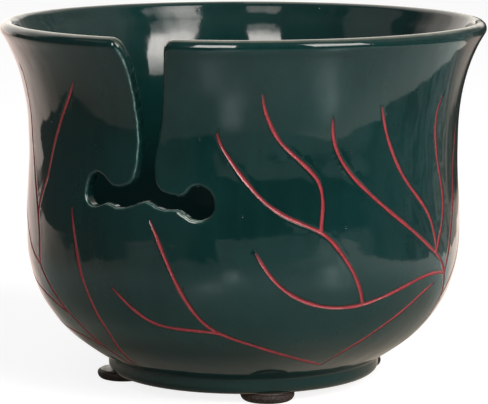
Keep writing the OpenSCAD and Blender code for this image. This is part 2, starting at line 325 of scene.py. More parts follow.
# ------------------------------------------------------------------ vine lines
# "degrees round,height" down each vine, a blank line between vines: first those left of the
# slot, under it and right of it as far as 100 degrees, then the same growth round the back
VINES = """-20.9,110.2 -24.2,103.9 -27.6,98.2 -30.8,92 -33.4,85.8 -35.4,80.3 -37.1,75 -39.6,69.6
-41.6,64.4 -42.2,60.5

-48.6,110.6 -48.8,104.7 -49.3,98 -49.4,90.4 -48.6,82.6 -46.8,75 -44.4,68.6 -42.4,61.5 -41.5,54
-41.6,48 -41.6,43.6 -39.9,39.6 -37.4,35.4 -34.6,31.5 -31.8,27.4 -29.2,23.6 -26.9,19.6 -25,16
-23.4,13 -22.4,9

-73,86 -68,76 -62,66 -56,56.8 -50.1,49.4 -45.4,45.6 -41.6,43.6

-84,62 -75,51.5 -64,41.5 -52,35.2 -44.1,32.6 -38,30.2 -31.8,27.4

-96,44 -84,32.5 -70,25 -56,21.2 -44.3,20 -37.3,19.3 -30.9,18 -25,16

-24.3,66.2 -23.3,59.2 -22.4,53 -21.5,47.6 -20.6,42.6 -19.6,37.6 -18.6,32.8 -17.7,27.6 -17,22.7
-17.2,18 -17.9,13.9 -19,9

-10.5,40.6 -8.2,37.7 -6,34.9 -3.9,32.6 -1.8,30.7 0.7,29.1 3.6,28.1 7.7,27.5 11.9,27.2 16,26.8
19.4,26

1.2,64.8 3.1,59.3 4.8,53.8 6.6,48.4 8.5,42.9 10.4,37.9 12.4,33.6 14.7,30 17.4,27.3 21.3,24.8
26.8,22.1 32.7,19.3 37.9,17 43.1,14.9 48.1,13 52.4,11.4

85.2,37.8 81.1,35.8 77.5,33.3 73.8,30.4 70,27.4 66.2,24.2 62.5,20.9 58.7,17.8 55.4,14.8 52.4,11.4

18.5,94.8 19.5,91.1 21.5,86.7 24,81.8 26.6,77.4 29.1,73.6 31.9,70.3 35.3,67.3 39.1,64.8 41.9,63.1
44.5,61.3 47,58.6 49.6,54.5 52.4,49.2 54.4,44.6 56.1,39.8 57.5,34.9

29.6,108.2 30.2,103.4 31.4,99.1 32.8,95.2 34.4,92 36.7,88.8 39.3,85.6 41.8,82.3 43.8,79 44.8,75.6
45.1,72 45,68.2 44.7,64.5 44.5,61.3

47.6,99.2 47.8,94.6 48.6,90.2 50,86 51.8,82.4 53.4,79.8 55.8,76.6 58.7,73.1 61.8,69.6 65,66.3
68.4,63 72.1,59.6 76.1,56 80.6,52 84.6,48.6 88.2,44.8 91.2,40.4

61.7,102.2 62.8,97.4 64.3,91.9 66,86.9 67.9,82.2 70.2,77.8 73.2,73.2 76.4,68.9 79.2,64.9 81.4,60.9
83,56.6 84.1,52.6 84.6,48.6

85.6,103 84.4,98.6 84.3,93.4 84.9,87.6 86.1,81.2 87.8,74.6 88.8,68.4 88.5,62.8 87.2,57.2 85.6,52.2
84.6,48.6

101.6,92 100.4,86 98.9,77.3 97.4,69 96,61.7 94.4,54.3 92.8,47.8 91.2,40.4

28.1,54.6 30.2,49.8 32.4,45.8 35,42.3 37.9,39.6 41,37.5 44.7,35.8 48.6,34.8 53.4,34.5 57.5,34.9
62.6,36.3 67.8,38.1 73,39.9 77.6,41.2 82.4,41.7 87.4,41.3 91.2,40.4

91.2,40.4 93.6,35.6 95,30.6 94.6,25.6 93,20.4 91.6,15 91,9

112,66 110,58 106.6,49.5 102.4,41.5 98.6,35.4 95,30.6

126,104 124.6,96 125.6,88 128.6,80 132.4,72.4 135.6,64.4 137.2,56 137.4,47.6 138.4,39.6
140.8,31.6 143.4,24 145.2,16 146,9

113.4,95 115.4,86.4 119.4,78.4 124.6,71.2 130,64.4 134.2,57 137.4,47.6

117.6,50 121.6,43 126.8,37.6 132.6,33.8 138,29.6 143.4,24

150.6,108 151.6,99.6 150.4,91 147.6,83 143.4,75.6 139.6,69 136.6,60.6

164,84 163.4,75.4 160.8,67 156.6,59.2 151.6,52 146.2,45 141.6,37.6 140.8,31.6

171,55 168.6,46.4 164.2,38.6 158.6,32.4 152.4,28 146.8,22 145.2,16

-150,110 -149.6,101 -151.4,92.4 -154.8,84.4 -159,77 -162.4,69 -163.8,60.4 -163,51.6 -160.6,43.2
-157.6,35.2 -155.6,27 -155,18.6 -155.6,9

-172.6,99 -171,90.6 -168.8,82.4 -167,74 -165.2,66 -163.8,60.4

-174.6,70 -172.4,61.4 -168.6,53.6 -164,46.6 -160,40.4 -157.6,35.2

-134.4,98 -136,89.4 -139.6,81.4 -144.6,74.4 -149.8,67.8 -154.4,60.8 -158.2,52.6 -160.6,43.2

-130,66 -134.4,58.6 -140,52.2 -146,46.6 -151.6,40.4 -155,33.6 -155.6,27

-174,40 -170,33.4 -164.6,28 -159.4,23 -155,18.6

-104,109 -105.8,100.6 -106,91.8 -104.4,83.2 -101.6,75 -99.6,66.6 -99.6,58 -101.8,49.8 -104.8,42
-107,34 -108,25.6 -108,17.2 -107.2,9

-119.6,104 -120,95.4 -118,87 -114,79.6 -109.4,72.6 -105,65.6 -101,59.4 -101.8,49.8

-86,101 -85.6,92.4 -87.4,84 -91,76.4 -95.4,69.4 -99.6,62

-122.6,68 -120.6,59.6 -116.6,52 -111.8,45.2 -107.8,38.6 -107,34

-126.6,42 -122.6,34.8 -117.2,29 -112,23.4 -108,17.2

-71,110 -70.4,102 -68.6,94 -66,86 -64,78 -62.6,67.4"""
# vines start in a taper and end full, but for these, counted from 0
FULL_START, TAPERED_END = 16, 8
HALF_LINE, GROOVE = 0.67, 0.36        # a line's half width and depth
# rows of mesh points along a line, in half widths from its middle
LINE_ROWS = [0, 0.42, -0.42, 0.74, -0.74, 1.0, -1.0, 1.35, -1.35, 2.4, -2.4]


def trace_vine(number, stations):
    """the line on the sheet, its half width and taper, and the sheet's way across it"""
    path = smooth_path(sheet_points(stations), 1.0)
    path = path[path[:, 1] > 0.4]
    squeeze = np.interp(path[:, 1], RUN, OUTLINE[:, 0]) / SHEET_RADIUS
    along = np.gradient(path, axis=0)
    along[:, 0] *= squeeze
    along = unit(along)
    # the width breathes as if drawn by hand
    run = np.arange(len(path)) * 1.0
    breath = (1 + 0.09 * np.sin(run * 0.31 + number * 1.7)
              + 0.06 * np.sin(run * 0.77 + number * 2.9))
    taper = np.ones(len(path))
    if number != FULL_START:
        taper = np.minimum(taper, np.clip((run + 1.0) / 16.0, 0, 1) ** 0.7)
    if number == TAPERED_END:
        taper = np.minimum(taper, np.clip((run[-1] - run + 6.0) / 40.0, 0.14, 0.62))
    width = HALF_LINE * breath * (0.72 + 0.28 * taper)
    return path, width, taper, np.stack([-along[:, 1] / squeeze, along[:, 0]], 1)


line_rows, line_points, LINE_OWNER, LINE_JOINED = [], [], [], []
for number, text in enumerate(VINES.split("\n\n")):
    stations = [[float(part) for part in pair.split(",")] for pair in text.split()]
    path, width, taper, aside = trace_vine(number, stations)
    for share in LINE_ROWS:
        row = path + aside * (share * width)[:, None]
        row = row[(row[:, 1] > 0.5) & (np.abs(row[:, 0]) < HALF_ROUND - 1.0)]
        if abs(share) > 2:
            row = row[::2]
        line_rows.append(np.hstack([row, np.tile([number, abs(share)], (len(row), 1))]))
    # centre lines in space at half the step, for exact distances
    fine_count = (len(path) - 1) * 2 + 1
    spots = np.linspace(0, len(path) - 1, fine_count)
    columns = (*outside_place(path).T, width, taper)
    line_points.append(np.stack([np.interp(spots, np.arange(len(path)), c) for c in columns], 1))
    LINE_OWNER += [number] * fine_count
    LINE_JOINED += [1] * (fine_count - 1) + [0]
LINE_MESH = np.vstack(line_rows)      # across, up, vine, half widths from its middle
line_points = np.vstack(line_points)
LINE_PLACE, LINE_WIDTH, LINE_TAPER = line_points[:, :3], line_points[:, 3], line_points[:, 4]
LINE_TREE = search_tree(LINE_PLACE)
LINE_SEARCH = 9.0                     # lines further off than this are ignored


def line_distance(flat):
    """distance to the nearest vine line, its half width, taper and number, and the way off it"""
    count = len(flat)
    distance = np.full(count, 99.0)
    width = np.full(count, HALF_LINE)
    taper = np.ones(count)
    owner = np.full(count, -1)
    away = np.zeros((count, 3))
    for j, point in enumerate(outside_place(flat)):
        _, i, reach = LINE_TREE.find(point)
        if reach > LINE_SEARCH:
            continue
        distance[j], k, share, offset = nearest_on(LINE_PLACE, LINE_JOINED, point, i)
        width[j] = between(LINE_WIDTH, k, share)
        taper[j] = between(LINE_TAPER, k, share)
        owner[j] = LINE_OWNER[i]
        if distance[j] > 1e-4:
            away[j] = offset / distance[j]
    return distance, width, taper, owner, away


def groove(x):
    """height and slope of the line's section, x half widths from its middle"""
    reach = 1.15
    turn = np.pi * np.clip(x / reach, 0, 1)
    height = np.where(x < reach, -0.5 * (1 + np.cos(turn)), 0)
    slope = np.where(x < reach, 0.5 * np.pi / reach * np.sin(turn), 0)
    # soft swelling of the glaze beside the cut
    swell = 0.09 * np.exp(-((x - 1.7) / 0.55) ** 2)
    return height + swell, slope + swell * (-2 * (x - 1.7) / 0.55 ** 2)


# ------------------------------------------------------------------ triangulate the sheets
EDGE_TURNS = np.radians([14, 27, 39, 50, 60, 70, 80, 90])      # mesh rows round the edge
EDGE_EXTRA = [0.45, 1.1, 2.0]         # and beyond the rounding
CLOSEST = 0.085                       # points nearer than this to an earlier one are dropped


def edge_rows():
    """rows of points following the edge, without those that run into another stretch of it"""
    offsets = [(EDGE_ROUND * (1 - np.cos(turn)), EDGE_ROUND.min() * (1 - math.cos(turn)))
               for turn in EDGE_TURNS]
    offsets += [(EDGE_ROUND + extra, 1.2) for extra in EDGE_EXTRA]
    rows, least = [], []
    for offset, minimum in offsets:
        row = (EDGE + INTO_CLAY * offset[:, None])[1:-1]
        row = row[np.abs(row[:, 0]) < HALF_ROUND - 0.9]
        rows.append(row)
        least.append(np.full(len(row), minimum))
    rows = np.vstack(rows)
    clear = edge_distance(rows)[0] > np.concatenate(least) * 0.93 - 0.01
    return rows[~cut_away(rows) & clear]


def line_mesh_rows():
    """rows of points along the vine lines, kept clear of other lines and of the edge"""
    flat, number, share = LINE_MESH[:, :2], LINE_MESH[:, 2], LINE_MESH[:, 3]
    distance, width, _, owner, _ = line_distance(flat)
    keep = (owner == number) | (distance > width * share * 0.97)
    keep &= distance > width * share * 0.9 - 0.02
    to_edge, rounding, _, _ = edge_distance(flat)
    keep &= (to_edge > rounding + 0.5) & ~cut_away(flat)
    return flat[keep][np.argsort(share[keep], kind="stable")]


def plain_grid(low, step, with_vines):
    """staggered grid over the rest of the sheet"""
    top = RIM_UP - HALF
    count = int(2 * HALF_ROUND / step)
    rows = []
    levels = np.linspace(low, top, max(2, int(round((top - low) / (step * 0.9)))) + 1)[1:-1]
    for j, up in enumerate(levels):
        across = (-HALF_ROUND
                  + (np.arange(count) + (0.5 if j % 2 else 0.0)) * (2 * HALF_ROUND / count))
        across = across[(across > -HALF_ROUND + 0.6) & (across < HALF_ROUND - 0.6)]
        rows.append(np.stack([across, np.full(len(across), up)], 1))
    flat = np.vstack(rows)
    to_edge, rounding, _, _ = edge_distance(flat)
    keep = (to_edge > rounding + 2.6) & ~cut_away(flat)
    if with_vines:
        distance, width, _, _, _ = line_distance(flat)
        keep &= distance > width * 2.4 + 0.7
    return flat[keep]


def thinned(points, fixed_count):
    """drops points too close to an earlier one; the first fixed_count stay"""
    cells, kept = {}, []
    for i, (x, y) in enumerate(points):
        column, row = int(math.floor(x / CLOSEST)), int(math.floor(y / CLOSEST))
        if i >= fixed_count and any(
                (points[j][0] - x) ** 2 + (points[j][1] - y) ** 2 < CLOSEST * CLOSEST
                for across in (-1, 0, 1) for up in (-1, 0, 1)
                for j in cells.get((column + across, row + up), ())):
            continue
        cells.setdefault((column, row), []).append(i)
        kept.append(i)
    return points[kept]


def build_sheet(low, columns, step, with_vines):
    """points, triangles, and which points are the edge and the lowest row"""
    base = np.stack([np.linspace(-HALF_ROUND, HALF_ROUND, columns + 1),
                     np.full(columns + 1, low)], 1)
    row_count = max(2, int(round((RIM_UP - low) / step)))
    side = [up for up in np.linspace(low, RIM_UP, row_count + 1)[1:-1]
            if up < RIM_UP - HALF - step * 0.5]
    side = np.array(sorted(side + [RIM_UP - HALF * (1 - math.cos(turn)) for turn in EDGE_TURNS]))
    sides = [np.stack([np.full(len(side), across), side], 1)
             for across in (-HALF_ROUND, HALF_ROUND)]
    fixed = np.vstack([EDGE, base, *sides])
    links = [(i, i + 1) for i in range(EDGE_COUNT - 1)]
    links += [(EDGE_COUNT + i, EDGE_COUNT + i + 1) for i in range(columns)]
    parts = [fixed, edge_rows()]
    if with_vines:
        parts.append(line_mesh_rows())
    parts.append(plain_grid(low, step, with_vines))
    points = thinned(np.vstack(parts), len(fixed))

    found, _, faces, origins, _, _ = delaunay_2d_cdt(
        [Vector((float(x), float(y))) for x, y in points], links, [], 0, 1e-5)
    flat = np.array([(point.x, point.y) for point in found])
    triangles = np.array([face for face in faces if len(face) == 3])
    first, second, third = (flat[triangles[:, k]] for k in range(3))
    one, two = second - first, third - first
    area = np.abs(one[:, 0] * two[:, 1] - one[:, 1] * two[:, 0])
    triangles = triangles[~cut_away(flat[triangles].mean(1)) & (area > 1e-7)]

    # join the two sides of the seam at the back
    left = {round(float(up), 4): i for i, (across, up) in enumerate(flat)
            if abs(across + HALF_ROUND) < 1e-3}
    joined = np.arange(len(flat))
    for i, (across, up) in enumerate(flat):
        if abs(across - HALF_ROUND) < 1e-3:
            joined[i] = left[round(float(up), 4)]
    position = {origin[0]: i for i, origin in enumerate(origins) if origin}
    edge = joined[[position[i] for i in range(EDGE_COUNT)]]
    lowest = joined[[position[EDGE_COUNT + i] for i in range(columns + 1)]]
    return flat, joined[triangles], edge, lowest


# ------------------------------------------------------------------ the bowl's points
places, normals, triangles = [], [], []
# attributes the glaze reads, with their values on plain glaze
PLAIN = {"line": 3.0, "taper": 1.0, "edge": 0.0, "rim": 0.0, "bare": 0.0, "inside": 0.0}
attributes = {name: [] for name in PLAIN}


def add_points(where, facing, **values):
    """adds points to the bowl and returns the first one's number"""
    start = sum(len(part) for part in places)
    places.append(where)
    normals.append(facing / np.maximum(np.linalg.norm(facing, axis=1), 1e-9)[:, None])
    for name, plain in PLAIN.items():
        value = np.asarray(values.get(name, plain), float)
        attributes[name].append(np.broadcast_to(value, (len(where),)))
    return start


# unevenness of the hand-thrown wall: height, waves round, waves per mm up, phase
THROWING = [(0.10, 2, 0.020, 0.6), (0.07, 3, -0.045, 2.1), (0.045, 5, 0.070, 4.0),
            (0.020, 1, 0.42, 1.0)]


def throwing(across, up):
    """its height, and its slopes across and up"""
    height, slope_across, slope_up = np.zeros((3, len(up)))
    for size, waves, rate, phase in THROWING:
        turn = waves * (across / SHEET_RADIUS) + rate * up + phase
        height += size * np.sin(turn)
        slope_across += size * np.cos(turn) * waves / SHEET_RADIUS
        slope_up += size * np.cos(turn) * rate
    return height, slope_across, slope_up


def shape_wall(flat, side, lip, fade, shift, tint, relief=0, push=0):
    """places, normals, pale edge break with painted highlight, and rim tint of one face of the
    wall

    side: 1 outside, -1 inside; fade: (up, run) where the throwing marks set in; shift: moves
    them across; tint: (middle, width) of the rim tint in degrees round the edge; relief and
    push: the vine lines' height and normal change"""
    across, up = flat.T
    angle = across / SHEET_RADIUS
    radius, z, nr, nz = wall_at(up)
    sideways = np.stack([np.cos(angle), np.sin(angle), np.zeros_like(angle)], -1)
    upward = turned(angle, -nz, nr)
    distance, rounding, inward, break_highlight_share = edge_distance(flat)
    bend = np.clip(1 - distance / rounding, 0, 1)
    flatness = np.sqrt(1 - bend * bend)
    thick, thick_slope = lip_at(RIM_UP - up, lip)
    half = HALF - rounding + rounding * flatness + thick
    soft = np.clip(distance / 12, 0, 1) * np.clip((up - fade[0]) / fade[1], 0, 1)
    wave, wave_across, wave_up = throwing(across + shift, up)
    out = side * half + relief + wave * soft
    facing = (side * turned(angle, nr, nz) * flatness[:, None]
              - (sideways * inward[:, :1] + upward * inward[:, 1:]) * bend[:, None] - push
              - (sideways * wave_across[:, None] + upward * wave_up[:, None]) * soft[:, None]
              + upward * (thick_slope * (1 - bend))[:, None])
    # a pale line along the cut, partly the glaze drawn thin and partly painted highlight; palest,
    # with a painted cream highlight, under the right end of the slot
    turn = np.degrees(np.arccos(bend))
    break_and_highlight = (np.exp(-((turn - 48) / 13) ** 2) * np.clip((HALF + 0.35 - rounding) / 0.9, 0, 1)
            * (bend > 0) * break_highlight_share)
    cream_and_highlight = (np.exp(-((np.degrees(angle) - 12.6) / 2.6) ** 2)
             * np.clip(-inward[:, 1] * 1.3, 0, 1) * (up < up_at(70)))
    rim = (np.exp(-((turn - tint[0]) / tint[1]) ** 2) * np.clip((rounding - 1.5) / 0.8, 0, 1)
           * (bend > 0))
    return place(angle, radius + out * nr, z + out * nz), facing, break_and_highlight * (1 + 0.9 * cream_and_highlight), rim


def add_outside(columns):
    flat, faces, edge, lowest = build_sheet(0.0, columns, 2.3, True)
    distance, width, taper, _, away = line_distance(flat)
    height, slope = groove(distance / width)
    depth = GROOVE * (0.35 + 0.65 * taper)
    where, facing, break_and_highlight, rim = shape_wall(
        flat, side=1, lip=LIP_OUT, fade=(0, 8), shift=0, tint=(0, 17),
        relief=depth * height, push=away * (depth * slope / width)[:, None])
    start = add_points(where, facing, line=np.minimum(distance / width, 3.0), taper=taper,
                       edge=break_and_highlight, rim=rim)
    triangles.append(faces + start)
    return edge + start, lowest[:-1] + start


def add_inside(columns):
    low = float(up_at(INSIDE_LOW_Z))
    flat, faces, edge, lowest = build_sheet(low, columns, 3.0, False)
    where, facing, break_and_highlight, rim = shape_wall(
        flat, side=-1, lip=LIP_IN, fade=(low, 10), shift=31, tint=(22, 26))
    start = add_points(where, facing, edge=np.minimum(break_and_highlight, 1) * 0.55, rim=rim, inside=1)
    triangles.append(faces[:, ::-1] + start)
    return edge + start, lowest[:-1] + start


def add_cut_face(edge_out, edge_in):
    """joins the faces through the slot; returns its columns and where both faces meet"""
    angle = EDGE[:, 0] / SHEET_RADIUS
    radius, z, nr, nz = wall_at(EDGE[:, 1])
    sideways = np.stack([np.cos(angle), np.sin(angle), np.zeros_like(angle)], -1)
    inward = sideways * INTO_CLAY[:, :1] + turned(angle, -nz, nr) * INTO_CLAY[:, 1:]
    out = HALF - EDGE_ROUND + lip_at(EDGE_DROP, LIP_OUT)[0]
    back = -(HALF - EDGE_ROUND + lip_at(EDGE_DROP, LIP_IN)[0])
    half_gap = np.maximum((out - back) / 2, 0)
    half_gap[PLAIN_RIM] = 0
    meet = half_gap < 1e-3
    strips = 4
    columns = [edge_out]
    for k in range(1, strips):
        t = 1 - 2 * k / strips
        bulge = np.where(PLAIN_RIM, 0, 0.06 * (1 - t * t))
        offset = (out + back) / 2 + half_gap * t
        where = place(angle, radius + offset * nr, z + offset * nz) - inward * bulge[:, None]
        columns.append(np.arange(EDGE_COUNT) + add_points(where, -inward, inside=0.5))
    columns.append(edge_in)
    faces = []
    for i in range(EDGE_COUNT - 1):
        if meet[i] and meet[i + 1]:
            continue
        for near, far in zip(columns, columns[1:]):
            faces += [(near[i], near[i + 1], far[i + 1]), (near[i], far[i + 1], far[i])]
    triangles.append(np.array(faces))
    return columns, meet


def add_rings(ring, angles, rows, middle_z, inside=0):
    """bands from a ring through (radius, z, radial, rise, bare) rows to a middle point"""
    for radius, z, radial, rise, bare in rows:
        start = add_points(place(angles, radius, z), turned(angles, radial, rise),
                           bare=bare, inside=inside)
        lower = np.arange(len(angles)) + start
        ahead, lower_ahead = np.roll(ring, -1), np.roll(lower, -1)
        if inside:
            faces = [(ring, ahead, lower_ahead), (ring, lower_ahead, lower)]
        else:
            faces = [(ring, lower, lower_ahead), (ring, lower_ahead, ahead)]
        triangles.extend(np.stack(face, 1) for face in faces)
        ring = lower
    facing = np.array([[0, 0, 1.0 if inside else -1.0]])
    start = add_points(place(np.zeros(1), 0.0, middle_z), facing, inside=inside)
    middle, ahead = np.full(len(ring), start), np.roll(ring, -1)
    triangles.append(np.stack((ring, ahead, middle) if inside else (ring, middle, ahead), 1))


def ring_angles(count):
    return np.linspace(-math.pi, math.pi, count + 1)[:-1]


def add_foot(ring):
    """foot ring and underside, from the outside's lowest row"""
    def bottom_round(centre, size, start, end):
        return [(centre + size * math.cos(turn), size - size * math.sin(turn),
                 math.cos(turn), -math.sin(turn))
                for turn in map(math.radians, np.linspace(start, end, 8))]

    # radius, z, normal's radial and rising parts
    profile = [(49.45, 5.62, 0.75, -0.66), (49.26, 5.30, 0.97, -0.24)]
    profile += [(RING_OUT, z, 1, 0) for z in (4.9, 4.0, 3.3)]
    profile += bottom_round(RING_OUT - RING_ROUND_OUT, RING_ROUND_OUT, 0, 90)
    profile += [(radius, 0.0, 0, -1) for radius in (45.2, 43.2, 41.2, 39.6)]
    profile += bottom_round(RING_IN + RING_ROUND_IN, RING_ROUND_IN, 90, 180)
    profile.append((RING_IN, 2.6, -1, 0))
    for turn in map(math.radians, np.linspace(0, 90, 6)):
        profile.append((RING_IN - RECESS_ROUND + RECESS_ROUND * math.cos(turn),
                        RECESS - RECESS_ROUND + RECESS_ROUND * math.sin(turn),
                        -math.cos(turn), -math.sin(turn)))
    profile += [(radius, RECESS + 0.25 * (1 - radius / 35.0), 0, -1)
                for radius in (33, 29, 24, 18, 12, 6)]
    angles = ring_angles(len(ring))
    wave = 0.10 * np.sin(2 * angles + 0.7) + 0.05 * np.sin(5 * angles + 1.9)
    # the face it stands on is unglazed
    rows = [(radius + (wave if radius > 30 else 0), z, radial, rise,
             1.0 if z < 0.35 and 37.4 < radius < 48.3 else 0.0)
            for radius, z, radial, rise in profile]
    add_rings(ring, angles, rows, RECESS + 0.25)


def add_floor(ring):
    """the well and floor inside, a Bezier curve from the inside wall's lowest row"""
    low = int(np.argmin(np.abs(OUTLINE[:, 1] - INSIDE_LOW_Z)))
    start = OUTLINE[low] - WALL * NORMAL[low]
    pull = start - 22 * TANGENT[low]
    flat, middle = np.array([46.0, FLOOR_Z]), np.array([0.0, FLOOR_Z])
    angles = ring_angles(len(ring))
    rows = []
    for t in np.linspace(0, 1, 40)[1:-1]:
        radius, z = ((1 - t)**3 * start + 3 * t * (1 - t)**2 * pull
                     + 3 * t * t * (1 - t) * flat + t**3 * middle)
        way = (3 * (1 - t)**2 * (pull - start) + 6 * t * (1 - t) * (flat - pull)
               + 3 * t * t * (middle - flat))
        way /= np.linalg.norm(way)
        # a faint spiral left by throwing
        spiral = 0.12 * math.exp(-((radius - 20) / 12) ** 2) * np.cos(angles + radius * 0.55)
        rows.append((radius, z + spiral, way[1], -way[0], 0))
    add_rings(ring, angles, rows, FLOOR_Z, inside=1)


def filled_gaps(faces):
    """the triangles with any single one the triangulation left out put back"""
    sides = {(int(a), int(b)) for t in faces
             for a, b in ((t[0], t[1]), (t[1], t[2]), (t[2], t[0]))}
    gap = {b: a for a, b in sides if (b, a) not in sides}
    extra = []
    while gap:
        first, second = next(iter(gap.items()))
        third = gap.get(second)
        if third is not None and gap.get(third) == first:
            extra.append((second, third, first))
            for corner in (first, second, third):
                gap.pop(corner)
        else:
            gap.pop(first)
    return np.vstack([faces, np.array(extra)]) if extra else faces


def mesh_object(name, points, faces, facing=None, values=None):
    """smooth-shaded object from points in millimetres"""
    mesh = bpy.data.meshes.new(name)
    mesh.vertices.add(len(points))
    mesh.vertices.foreach_set("co", (points * MM).astype(np.float32).ravel())
    mesh.loops.add(faces.size)
    mesh.loops.foreach_set("vertex_index", faces.astype(np.int32).ravel())
    mesh.polygons.add(len(faces))
    mesh.polygons.foreach_set("loop_start", np.arange(len(faces), dtype=np.int32) * 3)
    mesh.update(calc_edges=True)
    mesh.validate()
    for key, value in (values or {}).items():
        attribute = mesh.attributes.new(key, "FLOAT", "POINT")
        attribute.data.foreach_set("value", value.astype(np.float32))
    mesh.polygons.foreach_set("use_smooth", np.ones(len(mesh.polygons), bool))
    if facing is not None:
        mesh.normals_split_custom_set_from_vertices([tuple(normal) for normal in facing])
    return link_object(name, mesh)


def link_object(name, data):
    made = bpy.data.objects.new(name, data)
    bpy.context.scene.collection.objects.link(made)
    return made


def build_bowl():
    edge_out, low_out = add_outside(288)
    edge_in, low_in = add_inside(216)
    columns, meet = add_cut_face(edge_out, edge_in)
    add_foot(low_out)
    add_floor(low_in)
    # weld the two faces where they meet along the rim
    welded = np.arange(sum(len(part) for part in places))
    for column in columns[1:]:
        welded[column[meet]] = columns[0][meet]
    faces = welded[np.vstack(triangles)]
    faces = faces[(faces[:, 0] != faces[:, 1]) & (faces[:, 1] != faces[:, 2])
                  & (faces[:, 0] != faces[:, 2])]
    faces = filled_gaps(faces)
    used = np.unique(faces)
    renumbered = np.full(len(welded), -1)
    renumbered[used] = np.arange(len(used))
    values = {name: np.concatenate(parts)[used] for name, parts in attributes.items()}
    return mesh_object("bowl_glazed", np.vstack(places)[used], renumbered[faces],
                       np.vstack(normals)[used], values)


bowl = build_bowl()


# ------------------------------------------------------------------ bumpers and their adhesive
def revolve(name, profile, count, centre, seed, wave, waves):
    """closed body from (radius, z, share of the wave) rows, bottom middle to top middle"""
    angles = np.linspace(0, 2 * math.pi, count, endpoint=False)
    phases = np.random.default_rng(seed).uniform(0, 2 * math.pi, len(waves))
    uneven = sum(np.sin(h * angles + p) / len(waves) for h, p in zip(waves, phases)) * wave
    rows = [np.array([[*centre, profile[0][1]]])]
    for radius, z, share in profile[1:-1]:
        around = radius + uneven * share
        rows.append(np.stack([centre[0] + around * np.cos(angles),
                              centre[1] + around * np.sin(angles), np.full(count, z)], 1))
    rows.append(np.array([[*centre, profile[-1][1]]]))
    points = np.vstack(rows)
    here = np.arange(count)
    ahead = (here + 1) % count
    faces = [np.stack([np.zeros(count, int), 1 + ahead, 1 + here], 1)]
    last = 1 + (len(profile) - 3) * count
    for low in range(1, last, count):
        high = low + count
        faces.append(np.stack([low + here, low + ahead, high + ahead], 1))
        faces.append(np.stack([low + here, high + ahead, high + here], 1))
    faces.append(np.stack([last + here, last + ahead, np.full(count, len(points) - 1)], 1))
    return mesh_object(name, points, np.vstack(faces))


def bumper_profile(radius, low, high):
    thick = high - low
    round_low, round_high = 0.68 * thick, 0.275 * thick
    # a dimple in the middle of the face it stands on
    rows = [(0, low + 0.17, 0), (0.5, low + 0.17, 0), (0.78, low + 0.10, 0),
            (0.95, low + 0.012, 0), (1.6, low, 0)]
    rows += [(r, low + 0.004 * (r / 8) ** 2, 0)
             for r in (3.0, 4.4, 5.8, 6.8, radius - round_low - 0.35)]
    for turn in map(math.radians, np.linspace(0, 90, 9)):
        rows.append((radius - round_low + round_low * math.sin(turn),
                     low + round_low - round_low * math.cos(turn), 1.0 if turn > 0.5 else turn))
    # the parting line left by the mould
    parting = low + round_low
    rows += [(radius - 0.045, parting + 0.06, 1), (radius - 0.06, parting + 0.10, 1)]
    for turn in map(math.radians, np.linspace(8, 90, 8)):
        rows.append((radius - round_high - 0.02 + round_high * math.cos(turn),
                     high - round_high + round_high * math.sin(turn), 1.0 if turn < 1.2 else 0.3))
    rows += [(r, high, 0) for r in (radius - round_high - 0.4, radius - 2.4, 4.8, 2.2, 0)]
    return rows


def adhesive_profile(radius, low, high):
    thick = high - low
    rows = [(r, low, 0) for r in (0, 2.5, 5.0, 7.0, radius - 0.5)]
    rows += [(radius - 0.12, low, 1), (radius - 0.03, low + 0.18 * thick, 1),
             (radius, low + 0.5 * thick, 1.15), (radius - 0.05, low + 0.84 * thick, 1),
             (radius - 0.16, high, 1)]
    rows += [(r, high, 0) for r in (radius - 0.5, 7.0, 5.0, 2.5, 0)]
    return rows


def round_piece(node, suffix, profile, slot, **shape):
    low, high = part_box(node)
    centre = ((low.x + high.x) / 2 / MM, (low.y + high.y) / 2 / MM)
    rows = profile((high.x - low.x) / 2 / MM, low.z / MM, high.z / MM)
    made = revolve(node + suffix, rows, centre=centre, **shape)
    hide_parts(node)
    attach(made, "root")
    return made


CORNERS = ("front_right", "rear_right", "rear_left", "front_left")
bumpers = [round_piece("bumper_" + corner, "_moulded", bumper_profile, "bumper_rubber",
                       count=96, seed=11 + i, wave=0.05, waves=(2, 3, 7))
           for i, corner in enumerate(CORNERS)]
adhesives = [round_piece("adhesive_" + corner, "_film", adhesive_profile, "adhesive",
                         count=112, seed=31 + i, wave=0.16, waves=(4, 9, 17))
             for i, corner in enumerate(CORNERS)]
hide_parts("bowl")
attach(bowl, "root")


# ------------------------------------------------------------------ shader graphs
class Wire:
    """a node's output that takes part in arithmetic"""

    def __init__(self, graph, node, output=0):
        self.graph, self.node, self.output = graph, node, output

    def out(self, output):
        return Wire(self.graph, self.node, output)

    def op(self, operation, *others):
        return self.graph.math(operation, self, *others)

    def __add__(self, other):
        return self.op("ADD", other)

    def __radd__(self, other):
        return self.graph.math("ADD", other, self)

    def __sub__(self, other):
        return self.op("SUBTRACT", other)

    def __rsub__(self, other):
        return self.graph.math("SUBTRACT", other, self)

    def __mul__(self, other):
        return self.op("MULTIPLY", other)

    def __truediv__(self, other):
        return self.op("DIVIDE", other)

    def __rtruediv__(self, other):
        return self.graph.math("DIVIDE", other, self)

    def ramp(self, start, end, to=(0.0, 1.0), kind="SMOOTHSTEP"):
        """goes from to[0] at start to to[1] at end"""
        return self.graph.node("MapRange", {
            "Value": self, "From Min": start, "From Max": end, "To Min": to[0], "To Max": to[1],
        }, interpolation_type=kind)

    def fade(self, start, end):
        return self.ramp(start, end, to=(1, 0))

    def sweep(self, start, end, to=(0.0, 1.0)):
        """a ramp with its limits in degrees"""
        return self.ramp(start * DEGREE, end * DEGREE, to)


